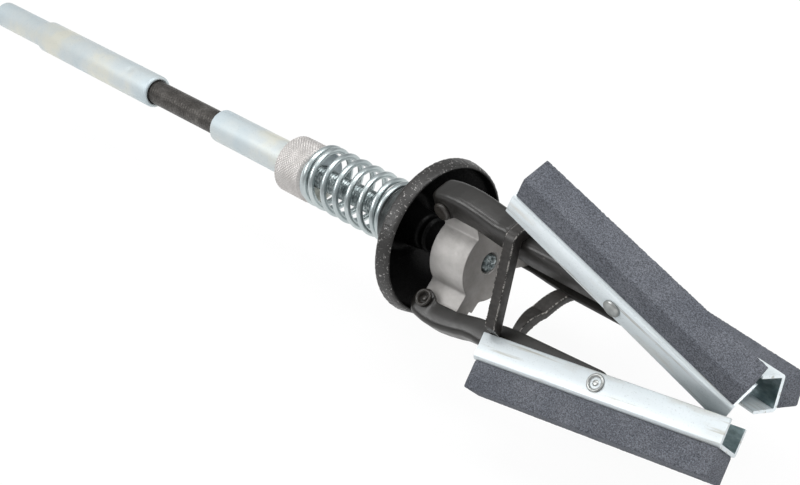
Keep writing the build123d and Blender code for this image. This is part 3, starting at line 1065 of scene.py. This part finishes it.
rng = np.random.default_rng(11)
section = square_section(BAND_SIDE, 0.5)
for which in TURN:
    ang = math.radians(TURN[which])
    verts = []
    rows = band_third(which)
    for p, q, slack in rows:
        for i, (dx, height) in enumerate(section):
            flash = abs(rng.normal(0, FLASH)) if i % 4 in (1, 2) and i > 3 and i < 12 else 0.0
            reach = (height + flash) * (1.0 - THINNER * max(slack, 0.0))
            dx = dx * (1.0 + WIDER * slack)
            y, r = p[0] + q[0] * reach, p[1] + q[1] * reach
            limit = room_beside(which, r - PIVOT_R)
            y = max(-limit, min(limit, y))
            x = BAND_X - FURTHER_BACK * slack + dx * (1 + flash * 0.06)
            verts.append((x, math.cos(ang) * y - math.sin(ang) * r, math.sin(ang) * y + math.cos(ang) * r))
    faces = skin(len(rows), len(section))
    piece = add_piece("band_third_" + which, verts, faces, rubber, None, "retaining_band", sharp=50)
    corner = piece.data.attributes.new("corner", "FLOAT", "POINT")
    corner.data.foreach_set("value", [1.0 if i % 4 in (1, 2) else 0.0 for i in range(len(verts))])
    out = np.array([0.0, -math.sin(ang), math.cos(ang)])
    start, end = out * STILL_R * MM, out * MOVING_R * MM
    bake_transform(piece)
print("band in three thirds")

# %% [markdown]
# ## Hub and rivets
# The hub is a casting of one outline: a round core with three ears that the arms
# straddle. The edge is found in each direction as the furthest of core and ears,
# blended so that the roots are filleted, and the outline is drawn out along the axis.
# %% Hub
HUB_BACK, HUB_FRONT, CORE_R, EAR_TOP = 296.0, 313.9, 15.2, 27.8
# an ear has its full half widths up to ROOT_TOP, and at most EAR_TIP above it
ROOT_TOP, EAR_TIP = 19.2, 3.5
# the casting sits a little off the axis; each ear has its own half widths
HUB_Y, HUB_Z = 0.3, -1.0
EARS = {"top": (2.9, 2.3), "near": (5.4, 3.6), "far": (3.4, 3.4)}


def hub_reach(a):
    """Distance from the hub's middle to its edge in the direction a."""
    reach = CORE_R
    for which, (less, more) in EARS.items():
        off = (a - math.radians(TURN[which]) + math.pi) % (2 * math.pi) - math.pi
        if abs(off) > 1.2:
            continue
        side = more if off < 0 else less
        across = max(abs(math.sin(off)), 1e-4)
        ear = min(min(side, EAR_TIP) / across, EAR_TOP / math.cos(off))
        root = min(side / across, ROOT_TOP / math.cos(off))
        longest = max(ear, root)
        reach = math.log(math.exp(reach) + math.exp(longest))
    return reach


around = 720
angles = [2 * math.pi * k / around for k in range(around)]
edge = [hub_reach(a) for a in angles]
# a ring of points is (x, what it follows, its radius or how far it lies past the edge)
rings = [
    (HUB_BACK + 1, "bore", 3.9), (HUB_BACK, "bore", 4.1), (HUB_BACK, "edge", -0.5),
    (HUB_BACK + 0.5, "edge", 0.0), (HUB_FRONT - 0.45, "edge", 0.0), (HUB_FRONT - 0.15, "edge", -0.12),
    (HUB_FRONT, "edge", -0.4), (HUB_FRONT, "bore", 4.7), (HUB_FRONT - 0.4, "bore", 4.35),
    (HUB_FRONT - 1.6, "bore", 4.2), (HUB_FRONT - 1.6, "bore", 3.9)]
verts = []
for x, kind, value in rings:
    for a, reach in zip(angles, edge):
        y, z, r = (0.0, 0.0, value) if kind == "bore" else (HUB_Y, HUB_Z, reach + value)
        verts.append((x, y - r * math.sin(a), z + r * math.cos(a)))
faces = skin(len(rings), around, closed=True)
add_piece("hub_cast", verts, faces, cast, "stem", "hub", sharp=28)
print("hub", len(faces), "faces")

# %% [markdown]
# The rivets are semi-tubular: a low head on one side, and on the other a hollow end
# that was rolled over. Such a rivet is a turned part that lies across the arm, so it
# is spun like the others and then laid on its side.
# %% Rivets
def rivet(name, line, place, material, body, node):
    """Spins (along, radius) points round a cross axis and puts them on their body."""
    v, f = turned(softened(line, 0.12), 56)
    v = [place(z, x, y) for x, y, z in v]
    add_piece(name, v, f, material, body, node, sharp=40)


# from the middle of the head, over the plain body, to the bottom of the hollow
pivot_line = [(-6.9, AXIS), (-7.0, 1.6), (-7.0, 3.0), (-6.75, 3.45), (-6.4, 3.7), (-5.55, 3.7), (-5.5, 2.9)]
pivot_line += [(5.5, 2.9), (5.5, 3.3), (6.2, 3.55), (6.9, 3.5), (7.2, 3.1), (7.2, 2.75), (6.9, 2.25)]
pivot_line += [(6.0, 1.95), (5.0, 1.8), (5.0, 1.35), (5.7, 1.15), (6.0, 0.7), (6.05, AXIS)]
stone_line = [(-8.4, AXIS), (-8.5, 1.6), (-8.45, 2.7), (-8.15, 3.2), (-7.85, 3.46), (-7.3, 3.46)]
stone_line += [(-7.25, 2.4), (7.25, 2.4), (7.25, 3.3), (7.5, 3.48), (7.85, 3.4), (8.03, 3.0), (8.03, 2.75)]
stone_line += [(7.8, 2.35), (7.1, 2.1), (6.5, 2.0), (6.5, 1.5), (7.2, 1.3), (7.5, 0.8), (7.55, AXIS)]
# each holder's rivet sits where the photographed one does: (ahead, outward)
RIVET_SHIFT = {"top": (0.0, -1.8), "near": (0.6, 0.0), "far": (0.0, 0.0)}


def beside(which):
    """The holder's map, moved to where its rivet sits."""
    place, (ahead, outward) = on_holder(which), RIVET_SHIFT[which]
    return lambda x, y, z: place(x + ahead, y, z + outward)


for which in TURN:
    arm, holder = "arm_" + which, "holder_" + which
    rivet("pivot_riveted_" + which, pivot_line, on_arm(which), rivet_black, arm,
          "pivot_rivet_" + which)
    rivet("stone_riveted_" + which, stone_line, beside(which), rivet_plate, holder,
          "stone_rivet_" + which)
print("six rivets")

# %% [markdown]
# ## Last step
# The view uses the standard transform, so colours are shown without a film curve.
# %% Finish
bpy.context.scene.view_settings.view_transform = "Standard"
